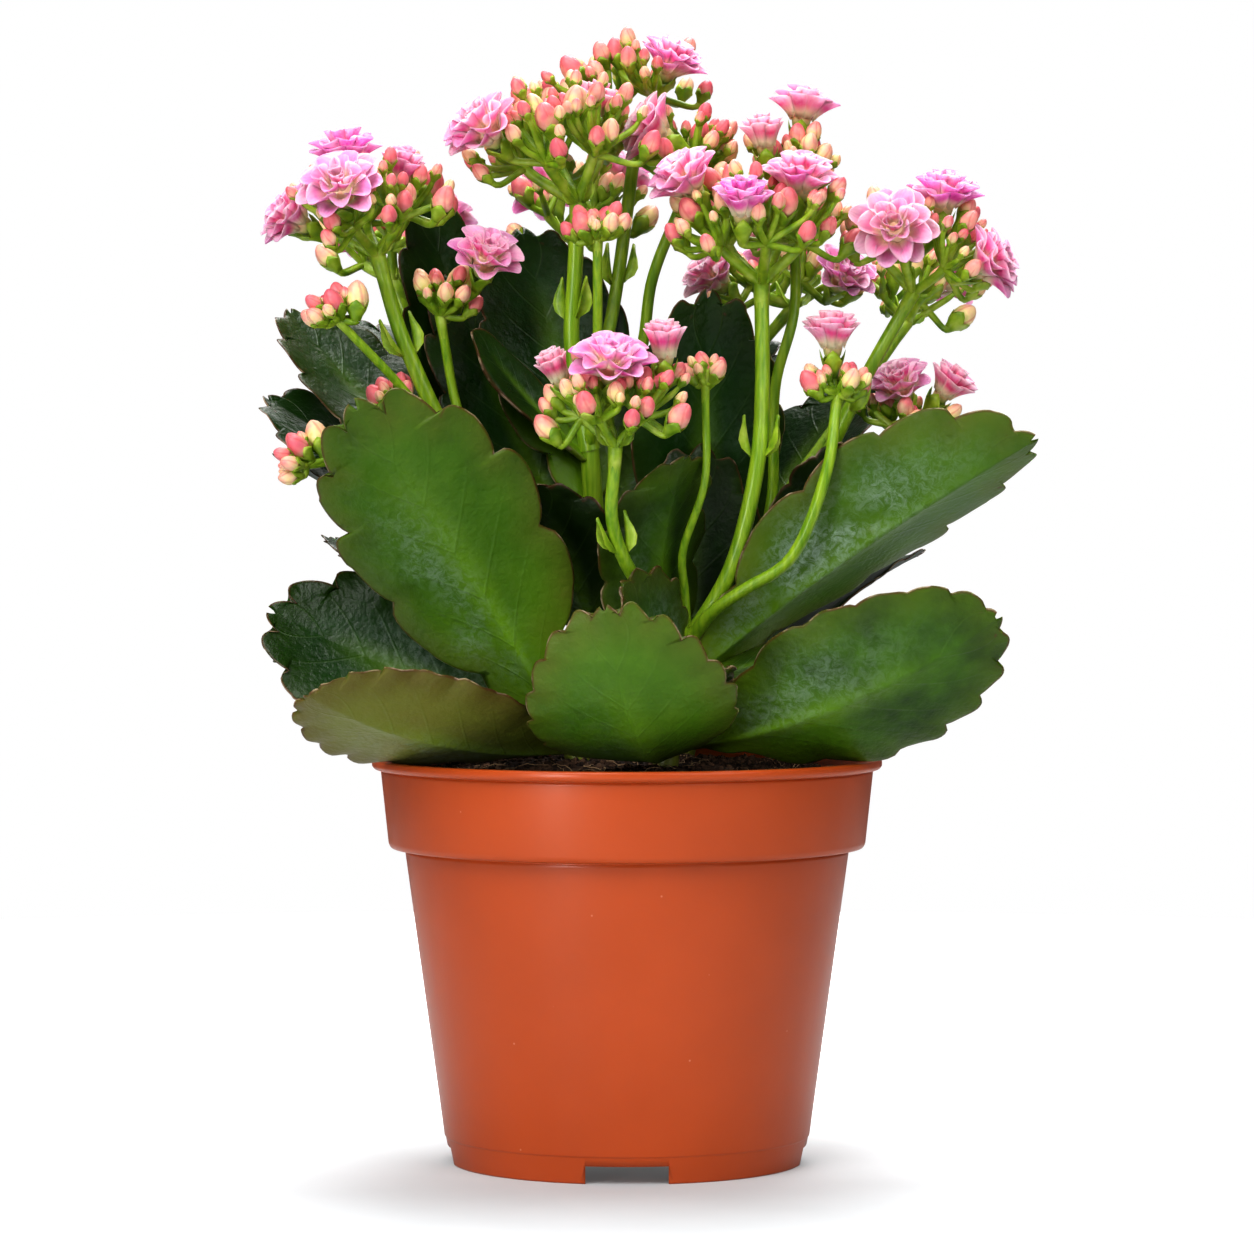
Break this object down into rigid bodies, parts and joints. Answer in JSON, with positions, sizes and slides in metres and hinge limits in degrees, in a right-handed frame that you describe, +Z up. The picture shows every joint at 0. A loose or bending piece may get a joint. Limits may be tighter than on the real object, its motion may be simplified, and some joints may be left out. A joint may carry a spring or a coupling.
{
  "type": "potted flaming katy",
  "caption": "Flowering succulent with scalloped fleshy leaves and branched heads of double pink flowers and buds, in a tapered terracotta-coloured plastic nursery pot.",
  "frame": {"origin": "centre of the pot's foot, on the pad under its floor that stands on the ground", "axes": "+Z up along the pot's axis; -Y is the side from which the plant is usually looked at; +X is to its right"},
  "size_m": [0.1831, 0.1542, 0.2675],
  "materials": {
    "pot": "satin moulded polypropylene",
    "soil": "rough, damp peat",
    "green": "waxy, half glossy",
    "bud": "waxy, satin",
    "bloom": "soft, matt"
  },
  "bodies": {
    "root": {"bloom_left_large_1": "bloom", "bloom_left_large_2": "bloom", "bloom_left_large_3": "bloom", "bloom_left_large_4": "bloom", "bloom_left_inner_1": "bloom", "bloom_centre_large_1": "bloom", "bloom_centre_large_2": "bloom", "bloom_top_large_1": "bloom", "bloom_top_right_1": "bloom", "bloom_right_back_1": "bloom", "bloom_right_back_2": "bloom", "bloom_right_middle_1": "bloom", "bloom_right_middle_2": "bloom", "bloom_right_middle_3": "bloom", "bloom_right_large_1": "bloom", "bloom_right_large_2": "bloom", "bloom_right_large_3": "bloom", "bloom_right_small_1": "bloom", "bloom_right_low_1": "bloom", "bloom_right_low_2": "bloom", "bloom_centre_front_1": "bloom", "bloom_centre_front_2": "bloom", "bloom_centre_front_3": "bloom", "bloom_far_left_1": "bloom", "bloom_far_left_2": "bloom", "bloom_back_large_1": "bloom", "bloom_back_large_2": "bloom", "bloom_back_right_1": "bloom", "bloom_back_right_2": "bloom", "bloom_back_right_3": "bloom", "bloom_far_right_1": "bloom", "head_left_large": "bud", "head_left_buds": "bud", "head_left_inner": "bud", "head_left_low_buds": "bud", "head_left_hidden_buds": "bud", "head_centre_large": "bud", "head_centre_small": "bud", "head_top_large": "bud", "head_top_right": "bud", "head_right_back": "bud", "head_right_middle": "bud", "head_right_large": "bud", "head_right_small": "bud", "head_right_low": "bud", "head_centre_front": "bud", "head_centre_buds": "bud", "head_far_left": "bud", "head_back_large": "bud", "head_back_right": "bud", "head_far_right": "bud", "shoot_front": "green", "shoot_left": "green", "shoot_centre": "green", "shoot_right": "green", "shoot_left_back": "green", "shoot_back": "green", "soil": "soil", "pot": "pot"}
  },
  "joints": []
}
